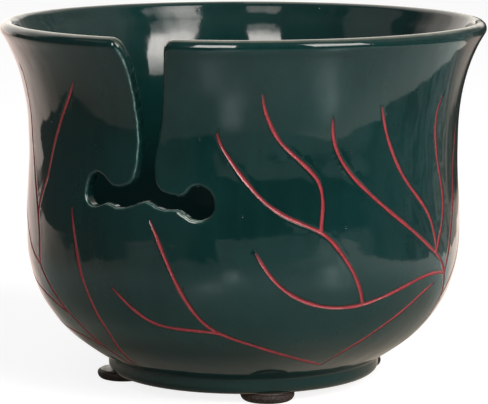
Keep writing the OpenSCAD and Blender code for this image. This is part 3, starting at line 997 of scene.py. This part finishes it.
class Graph:
    """the cleared node tree of a material, light or world"""

    def __init__(self, owner):
        owner.use_nodes = True
        self.owner, self.tree = owner, owner.node_tree
        self.tree.nodes.clear()

    def node(self, kind, inputs=None, **settings):
        node = self.tree.nodes.new("ShaderNode" + kind)
        for key, value in settings.items():
            setattr(node, key, value)
        for key, value in (inputs or {}).items():
            socket = node.inputs[key]
            if isinstance(value, Wire):
                self.tree.links.new(value.node.outputs[value.output], socket)
            else:
                socket.default_value = (*value, 1.0) if socket.type == "RGBA" else value
        return Wire(self, node)

    def finish(self, kind, shader):
        self.node("Output" + kind, {0: shader})
        return self.owner

    def math(self, operation, *values):
        return self.node("Math", dict(enumerate(values)), operation=operation)

    def mix(self, factor, below, above):
        return self.node("Mix", {0: factor, 6: below, 7: above}, data_type="RGBA").out(2)

    def mix_shader(self, factor, below, above):
        return self.node("MixShader", {0: factor, 1: below, 2: above})

    def noise(self, vector, scale, detail=3, roughness=0.6):
        return self.node("TexNoise", {"Vector": vector, "Scale": scale, "Detail": detail,
                                      "Roughness": roughness})

    def stretched(self, vector, factors):
        return self.node("VectorMath", {0: vector, 1: factors}, operation="MULTIPLY")

    def attribute(self, name):
        return self.node("Attribute", attribute_name=name).out("Fac")

    def bump(self, height, distance, below=None):
        inputs = {"Height": height, "Distance": distance}
        if below:
            inputs["Normal"] = below
        return self.node("Bump", inputs)

    def curve(self, value, stops):
        """level by value, straight between (value, level) stops"""
        ramp = self.node("ValToRGB", {0: value})
        elements = ramp.node.color_ramp.elements
        elements.remove(elements[-1])
        for i, (position, level) in enumerate(stops):
            element = elements.new(position) if i else elements[0]
            element.position = position
            element.color = (level, level, level, 1)
        return self.node("SeparateColor", {0: ramp})

    def view_axes(self, vector):
        """the camera's right, the way from it, and up"""
        turned_back = self.node("VectorRotate", {"Vector": vector, "Angle": VIEW},
                                rotation_type="Z_AXIS", invert=True)
        axes = self.node("SeparateXYZ", {0: turned_back})
        return axes, axes.out(1), axes.out(2)


def material_graph(name):
    graph = Graph(bpy.data.materials.new(name))
    return graph, graph.node("TexCoord").out("Object")


# ------------------------------------------------------------------ materials
def glaze():
    graph, spot = material_graph("glaze_teal")
    mix, noise, bump = graph.mix, graph.noise, graph.bump
    line, taper, edge, bare, inside, rim = map(
        graph.attribute, ("line", "taper", "edge", "bare", "inside", "rim"))
    # the glaze body: slow pooling, runs down the wall, fine mottle
    pool = noise(graph.stretched(spot, (1, 1, 0.8)), scale=26, roughness=0.55)
    runs = noise(graph.stretched(spot, (1, 1, 0.16)), scale=190)
    mottle = noise(spot, scale=620, detail=4, roughness=0.62)
    colour = mix(pool.ramp(0.36, 0.66), (0.0034, 0.0240, 0.0215), (0.0050, 0.0320, 0.0300))
    colour = mix(runs.ramp(0.40, 0.72, to=(0, 0.35)), colour, (0.0070, 0.038, 0.036))
    colour = mix(mottle.ramp(0.42, 0.75, to=(0, 0.30)), colour, (0.0026, 0.018, 0.0165))
    # a few dark iron specks
    cells = graph.node("TexVoronoi", {"Vector": spot, "Scale": 210.0})
    picked = graph.node("SeparateColor", {0: cells.out("Color")}).op("GREATER_THAN", 0.80)
    speck = cells.fade(0.045, 0.11) * picked
    colour = mix(speck * 0.75, colour, (0.0022, 0.0085, 0.0070))
    # olive-brown where the glaze has run thin over the lip
    lip = rim.ramp(0.25, 0.9) * noise(spot, scale=160).ramp(0.25, 0.7, to=(0.45, 1.0))
    colour = mix(lip * 0.8, colour, (0.105, 0.115, 0.082))
    # painted shade: the glaze is coloured darker low down inside the well
    z = graph.node("SeparateXYZ", {0: spot}).out(2)
    well_shade = inside * z.ramp(0.060, 0.090, to=(0.70, 0))
    colour = mix(well_shade, colour, (0.0030, 0.0075, 0.0068))
    # the pale line along the cut edges, partly glaze break and partly painted highlight, cream
    # where it is strongest
    patchy = noise(spot, scale=420)
    pale = edge.ramp(0.34, 0.96, kind="LINEAR") * patchy.ramp(0.36, 0.60, to=(0.30, 1.0))
    colour = mix(pale * 0.85, colour, (0.27, 0.44, 0.37))
    cream_and_highlight = edge.ramp(1.05, 1.6) * patchy.ramp(0.30, 0.55, to=(0.4, 1.0))
    colour = mix(cream_and_highlight, colour, (0.66, 0.63, 0.50))
    # the coral-red lines, by half widths from their middle with a ragged border
    ragged = noise(spot, scale=900, detail=2, roughness=0.5).op("MULTIPLY_ADD", 0.26, -0.13)
    away = line + ragged
    red = mix(away.ramp(0.25, 0.85), (0.41, 0.044, 0.056), (0.19, 0.014, 0.018))
    red = mix(noise(spot, scale=480).ramp(0.45, 0.72, to=(0, 0.55)), red, (0.20, 0.018, 0.022))
    cover = away.fade(0.84, 1.06) * taper.ramp(0.0, 0.55, to=(0.18, 1.0))
    colour = mix(away.ramp(1.0, 2.0, to=(0.75, 0)), colour, (0.0020, 0.013, 0.011))
    colour = mix(cover, colour, red)
    # unglazed clay on the foot, with dark grog
    grain = noise(spot, scale=300, detail=5, roughness=0.65)
    border = noise(spot, scale=150, roughness=0.5).op("MULTIPLY_ADD", 0.9, -0.45)
    unglazed = (bare + border).ramp(0.42, 0.58)
    clay = mix(grain.ramp(0.35, 0.7), (0.30, 0.185, 0.115), (0.45, 0.32, 0.21))
    grog = graph.node("TexVoronoi", {"Vector": spot, "Scale": 900.0})
    clay = mix(grog.ramp(0.10, 0.22, to=(0.75, 0)), clay, (0.13, 0.075, 0.048))
    colour = mix(unglazed, colour, clay)
    # roughness: glossy glaze, duller lines, dull clay
    rough = noise(spot, scale=75, detail=4).ramp(0.3, 0.75, to=(0.045, 0.085))
    rough = rough + mottle.ramp(0.5, 0.8, to=(0, 0.03)) + cover * 0.20 + unglazed * 0.66
    # relief: slow waves, orange peel, specks, clay grain, rough lines
    waves = noise(graph.stretched(spot, (1, 1, 0.55)), scale=55, detail=2, roughness=0.5)
    peel = noise(spot, scale=420, detail=2, roughness=0.5)
    relief = bump(waves, distance=0.00045)
    relief = bump(peel, distance=0.000014, below=relief)
    relief = bump(speck * -1, distance=0.00006, below=relief)
    relief = bump(grain * unglazed, distance=0.00035, below=relief)
    relief = bump(noise(spot, scale=1300, detail=2) * cover, distance=0.00007, below=relief)
    return graph.finish("Material", graph.node("BsdfPrincipled", {
        "Base Color": colour, "Roughness": rough, "IOR": 1.5, "Normal": relief}))


def rubber():
    graph, spot = material_graph("bumper_rubber")
    cloud = graph.noise(spot, scale=160, detail=4)
    grain = graph.noise(spot, scale=1150, detail=4, roughness=0.65)
    colour = graph.mix(cloud.ramp(0.35, 0.7), (0.021, 0.0130, 0.0105), (0.044, 0.0285, 0.0225))
    colour = graph.mix(grain.ramp(0.50, 0.64, to=(0, 0.70)), colour, (0.100, 0.074, 0.060))
    # rubbed paler and dusty where it bears on the table
    z = graph.node("SeparateXYZ", {0: spot}).out(2)
    wear = z.fade(0.0, 0.0007) * graph.noise(spot, scale=420, detail=4).ramp(0.35, 0.65)
    colour = graph.mix(wear * 0.55, colour, (0.16, 0.135, 0.115))
    relief = graph.bump(grain, distance=0.00018)
    relief = graph.bump(graph.noise(spot, scale=380), distance=0.00022, below=relief)
    return graph.finish("Material", graph.node("BsdfPrincipled", {
        "Base Color": colour, "Roughness": cloud.ramp(0.3, 0.7, to=(0.50, 0.70)) + wear * 0.3,
        "IOR": 1.5, "Specular IOR Level": 0.28, "Normal": relief}))


def film():
    graph, spot = material_graph("adhesive_film")
    cloud = graph.noise(spot, scale=300, detail=4)
    grain = graph.noise(spot, scale=1700)
    colour = graph.mix(cloud.ramp(0.35, 0.7), (0.115, 0.095, 0.078), (0.200, 0.170, 0.140))
    colour = graph.mix(grain.ramp(0.5, 0.75, to=(0, 0.5)), colour, (0.060, 0.045, 0.036))
    return graph.finish("Material", graph.node("BsdfPrincipled", {
        "Base Color": colour, "Roughness": cloud.ramp(0.3, 0.7, to=(0.30, 0.5)),
        "Normal": graph.bump(grain, distance=0.00006)}))


GLAZE, RUBBER, FILM = glaze(), rubber(), film()
for pieces, look in (([bowl], GLAZE), (bumpers, RUBBER), (adhesives, FILM)):
    for piece in pieces:
        piece.data.materials.append(look)
for name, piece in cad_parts.items():
    look = GLAZE if name == "bowl" else RUBBER if name.startswith("bumper") else FILM
    piece.data.materials.clear()
    piece.data.materials.append(look)


# ------------------------------------------------------------------ studio
# the camera stands 25 degrees round to the right of the slot; the set is laid out from it,
# with directions in degrees from the camera, positive to its right
VIEW = math.radians(25)


def studio_place(x, y, z):
    """mm to the camera's right, away from the camera and up -> metres in the frame"""
    size = SCALE_R * MM
    cosine, sine = math.cos(VIEW), math.sin(VIEW)
    return Vector(((x * cosine - y * sine) * size, (x * sine + y * cosine) * size, z * size))


# how bright the room is as the glaze mirrors it: (direction, level)
ROOM = [(-180, 1.0), (-141, 0.98), (-132, 0.06), (-112, 0.06), (-80, 0.075), (-30, 0.070),
        (-20, 0.0125), (62, 0.0125), (76, 0.19), (104, 0.26), (114, 0.36), (132, 0.34),
        (140, 0.09), (158, 0.040), (180, 0.040)]


def room(graph, turn, rise):
    level = graph.curve(turn / (2 * math.pi) + 0.5, [((at + 180) / 360, v) for at, v in ROOM])
    level = level * 1.2 * turn.sweep(-141, -125, to=(1.30, 1.0))
    # hanging cloth to the right, in soft upright folds
    weave = graph.node("CombineXYZ", {0: turn * 26.0, 1: rise * 5.0})
    folds = graph.noise(weave, scale=1.0).ramp(0.35, 0.65, to=(0.35, 1.25))
    return level * (1.0 + turn.sweep(70, 84) * (folds - 1.0))


# patches of light on the table: direction, distance out, half width, half length (m), level
PATCHES = [(-5.0, 0.268, 0.023, 0.058, 0.95), (40.5, 0.268, 0.026, 0.060, 1.05),
           (-14.5, 0.178, 0.020, 0.045, 0.45), (39.0, 0.190, 0.022, 0.045, 0.60)]


def floor_material():
    """plain pale ground to the camera, a lit table in a dim room to the glaze; in metres"""
    graph = Graph(bpy.data.materials.new("floor_pale"))
    mix = graph.mix
    rays = graph.node("LightPath")
    geometry = graph.node("NewGeometry")
    position = geometry.out("Position")
    x, y, _ = graph.view_axes(position)
    size = SCALE_R
    # the table: its slanting left and right sides and its near side
    left = x + (y.op("MAXIMUM", -0.02) * 0.40 + 0.335 * size)
    right = x + (y + 0.275 * size) * 0.235
    table = (left.ramp(-0.006, 0.006) * right.fade(0.354 * size, 0.364 * size)
             * y.ramp(-0.376 * size, -0.364 * size))

    def patch(turn, out, wide, long, level):
        cosine, sine = math.cos(turn * DEGREE), math.sin(turn * DEGREE)
        across = x * (cosine / (wide * size)) + y * (sine / (wide * size))
        along = x * (sine / (long * size)) + y * (-cosine / (long * size)) - out / long
        return ((across * across + along * along) * -1.0).op("EXPONENT") * level

    patches = [patch(*row) for row in PATCHES]
    hot = sum(patches[1:], patches[0])
    base = (x.ramp(-0.12, 0.02, to=(0.28, 0.42))
            + (x.ramp(0.12, 0.30, to=(0, 0.45)) + y.ramp(0.0, 0.25, to=(0.0, 0.30))))
    distance = (x * x + y * y).op("SQRT")
    # painted shade of the bowl on the table close to it
    close_shade = distance.fade(0.085 * size, 0.175 * size)
    turn = x.op("ARCTAN2", y * -1.0)
    base = base + turn.op("ABSOLUTE").sweep(104, 145, to=(0, 0.42))
    base = base + (distance.fade(0.20 * size, 0.36 * size)
                   * turn.sweep(-5, 25, to=(0.11, 0.17)))
    lit = (base + hot) * (1.0 - close_shade * 0.24)
    # dimmer ground between the table and the camera, and at the rear right
    near = (distance.ramp(0.66 * size, 0.78 * size, to=(0.36, 0))
            * (turn.sweep(-14, -10) * turn.sweep(62, 70, to=(1, 0))))
    rear = distance.ramp(0.50 * size, 0.66 * size, to=(0.50, 0)) * turn.sweep(122, 138)
    far = room(graph, turn, -0.10 / distance).op("MAXIMUM", rear).op("MAXIMUM", near)
    level = table * lit + (1.0 - table) * far
    # tints by side, in the painted shade close to the bowl, and in the room
    tint = mix(x.ramp(-0.36, -0.04), (1.22, 0.98, 0.84), (0.90, 1.05, 1.0))
    tint = mix(x.fade(-0.75, -0.34), tint, (1.04, 0.97, 0.94))
    tint = mix(x.ramp(0.16, 0.34), tint, (1.04, 1.08, 0.98))
    tint = mix(close_shade, tint, (0.80, 0.92, 0.80))
    tint = mix(close_shade * turn.op("ABSOLUTE").sweep(45, 85), tint, (1.00, 0.94, 0.80))
    tint = mix(turn.sweep(118, 136), tint, (1.20, 1.00, 0.88))
    tint = mix(turn.sweep(-128, -108, to=(1, 0)), tint, (1.20, 0.97, 0.88))
    cool = turn.sweep(-14, 0) * turn.sweep(108, 128, to=(1, 0))
    tint = mix((1.0 - table) * cool, tint, (0.80, 1.08, 1.08))
    # right under the bowl the table is in its shade, less so to the right
    under = distance.fade(0.062 * size, 0.080 * size)
    tint = mix(under, tint, (1.04, 0.90, 0.74))
    level = level * (1.0 + under * x.ramp(-0.036 * size, 0.042 * size, to=(-0.50, 0.06)))
    mirrored = graph.node("Emission", {"Color": tint, "Strength": level})

    grain = graph.noise(position, scale=14, roughness=0.5)
    pale = mix(grain, (0.395, 0.395, 0.39), (0.405, 0.405, 0.40))
    seen = graph.node("BsdfDiffuse", {"Color": pale})
    lift = graph.node("Emission", {"Color": (1, 1, 1), "Strength": 0.85})
    seen = graph.node("AddShader", {0: seen, 1: lift})
    bounce = graph.node("BsdfDiffuse", {"Color": (0.62, 0.62, 0.61)})
    shader = graph.mix_shader(rays.out("Is Camera Ray"), bounce, seen)
    shader = graph.mix_shader(rays.out("Is Glossy Ray"), shader, mirrored)
    # seen through from below
    below = geometry.out("Backfacing") * rays.out("Is Camera Ray")
    shader = graph.mix_shader(below, shader, graph.node("BsdfTransparent"))
    return graph.finish("Material", shader)


FLOOR_REACH = 9
floor_mesh = bpy.data.meshes.new("floor")
floor_mesh.from_pydata([(x * FLOOR_REACH, y * FLOOR_REACH, 0)
                        for x, y in ((-1, -1), (1, -1), (1, 1), (-1, 1))], [], [(0, 1, 2, 3)])
floor = link_object("floor", floor_mesh)
floor.data.materials.append(floor_material())


def studio_world():
    """white to the camera, a dim even fill, and a room with walls for the glaze to mirror"""
    world = bpy.data.worlds.new("studio")
    bpy.context.scene.world = world
    graph = Graph(world)
    world.cycles.sampling_method = "NONE"
    rays = graph.node("LightPath")
    x, y, z = graph.view_axes(graph.node("TexCoord").out("Generated"))
    turn = x.op("ARCTAN2", y * -1.0)
    rise = z.op("ARCSINE")
    ceiling = rise.sweep(28, 48, to=(0.0, 0.16))
    upper = rise.sweep(12, 30) * turn.sweep(60, 84, to=(0.03, 0.50))
    # to the left a pale wall, a dark gap and a dim patch higher up
    patch = turn.sweep(-100, -95) * turn.sweep(-66, -60, to=(0.42, 0))
    patch = patch * (rise.sweep(22, 28) * rise.sweep(40, 46, to=(1, 0)))
    wall = turn.sweep(-130, -108, to=(1.05, 0.05)) + turn.sweep(-168, -140, to=(0.55, 0))
    wall = wall * (rise.sweep(5, 11) * turn.sweep(-104, -100, to=(1, 0)))
    # light wall behind the bowl, reaching round to the right
    middle = turn.op("ABSOLUTE").sweep(150, 168, to=(0, 1.5))
    rear_right = turn.sweep(116, 142, to=(0, 0.95)) * rise.sweep(22, 32, to=(0.25, 1))
    behind = (rise.sweep(1, 9) * rise.sweep(50, 75, to=(1, 0.2))
              * middle.op("MAXIMUM", rear_right))
    level = room(graph, turn, rise)
    for part in (upper, ceiling, behind, patch.op("MAXIMUM", wall)):
        level = level.op("MAXIMUM", part)
    tint = graph.mix(turn.op("ABSOLUTE").sweep(135, 165), (1.0, 0.91, 0.85), (1.02, 0.96, 0.88))
    mirrored = graph.node("Background", {"Color": tint, "Strength": level})
    seen = graph.node("Background", {"Color": (1, 1, 1), "Strength": 1.05})
    fill = graph.node("Background", {"Color": (1, 1, 1), "Strength": 0.20})
    shader = graph.mix_shader(rays.out("Is Glossy Ray"), fill, mirrored)
    graph.finish("World", graph.mix_shader(rays.out("Is Camera Ray"), shader, seen))


studio_world()

# ------------------------------------------------------------------ lights
PANEL_DISTANCE = 1000.0
PANEL_BASE = 110                      # the height the panels' elevations are counted from
# the cloth is brightest in the middle: (degrees up, level)
CLOTH_LEFT = [(8.5, 0.50), (13.4, 0.80), (22.8, 1.0), (34.0, 1.0), (36.1, 0.85), (38.4, 0.57),
              (41.1, 0.22), (42.8, 0.18), (44.5, 0.15), (46.5, 0.05)]
CLOTH_RIGHT = [(8.5, 0.15), (11.7, 0.24), (14.0, 0.38), (16.3, 0.55), (20.0, 0.70), (23.0, 0.90),
               (27.9, 1.0), (31.0, 1.0), (35.4, 0.85), (37.0, 0.70), (39.0, 0.55), (41.0, 0.45),
               (44.0, 0.40), (46.8, 0.36), (50.0, 0.25), (52.0, 0.06)]


def cloth_face(light, cloth, sideways_dim):
    """woven cloth lit unevenly; its upper part may dim sideways"""
    graph = Graph(light)
    across = graph.node("SeparateXYZ", {0: graph.node("NewGeometry").out("Parametric")})
    up = across.out(1)
    low, high = (math.tan(cloth[end][0] * DEGREE) for end in (0, -1))
    level = graph.curve(up, [((math.tan(rise * DEGREE) - low) / (high - low), value)
                             for rise, value in cloth])
    threads = graph.node("CombineXYZ", {0: across * 34.0, 1: up * 1.6})
    weave = graph.noise(threads, scale=1.0).ramp(0.3, 0.7, to=(0.78, 1.12))
    if sideways_dim:
        dim = across.ramp(0.25, 0.95, to=(1.15, 0.25)) - 1.0
        weave = weave * (1.0 + dim * up.ramp(0.44, 0.56))
    graph.finish("Light", graph.node("Emission", {"Strength": level * weave,
                                                  "Color": (1.0, 0.94, 0.90)}))


def softbox(name, turn, low, high, wide, level, cloth=None, sideways_dim=False):
    """an upright panel facing the bowl; turn, low and high edge and width in degrees"""
    bottom, top = (PANEL_DISTANCE * math.tan(rise * DEGREE) for rise in (low, high))
    size = SCALE_R * MM
    light = bpy.data.lights.new(name, "AREA")
    light.shape = "RECTANGLE"
    light.size = 2 * PANEL_DISTANCE * size * math.tan(wide * DEGREE / 2)
    light.size_y = (top - bottom) * size
    light.energy = level * math.pi * light.size * light.size_y
    if cloth:
        cloth_face(light, cloth, sideways_dim)
    panel = bpy.data.objects.new(name, light)
    middle = PANEL_BASE + (bottom + top) / 2
    panel.location = studio_place(PANEL_DISTANCE * math.sin(turn * DEGREE),
                                  -PANEL_DISTANCE * math.cos(turn * DEGREE), middle)
    panel.rotation_mode = "QUATERNION"
    way = studio_place(0, 0, middle) - panel.location
    panel.rotation_quaternion = way.to_track_quat("-Z", "Y")
    panel.visible_camera = False
    bpy.context.scene.collection.objects.link(panel)
    return panel


# the panels are only mirrored and light up the glaze's shine; the fills do the rest
for panel in (softbox("panel_left", turn=-13.3, low=8.5, high=46.5, wide=20.6, level=13.5,
                      cloth=CLOTH_LEFT),
              softbox("panel_right", turn=45.0, low=8.5, high=52.0, wide=30.3, level=14.0,
                      cloth=CLOTH_RIGHT, sideways_dim=True)):
    panel.visible_diffuse = False
for panel in (softbox("fill_left", turn=-14, low=10, high=46, wide=30, level=1.5),
              softbox("fill_right", turn=40, low=12, high=52, wide=46, level=6.2)):
    panel.visible_glossy = False

# ------------------------------------------------------------------ camera
CAMERA_DISTANCE, CAMERA_HEIGHT = 1017.1, 210.8          # mm; height above the foot's face
PITCH = math.radians(8.385)           # looking down
lens = bpy.data.cameras.new("camera")
lens.sensor_width = 36
lens.lens = 209.3
lens.shift_x = 0.00112705
lens.clip_start, lens.clip_end = 0.05, 60
camera = link_object("camera", lens)
camera.location = studio_place(0, -CAMERA_DISTANCE, CAMERA_HEIGHT + FOOT_Z)
look = Vector((-math.sin(VIEW) * math.cos(PITCH), math.cos(VIEW) * math.cos(PITCH),
               -math.sin(PITCH)))
camera.rotation_mode = "QUATERNION"
camera.rotation_quaternion = look.to_track_quat("-Z", "Y")
scene = bpy.context.scene
scene.camera = camera
scene.view_settings.view_transform = "Standard"
scene.view_settings.look = "None"
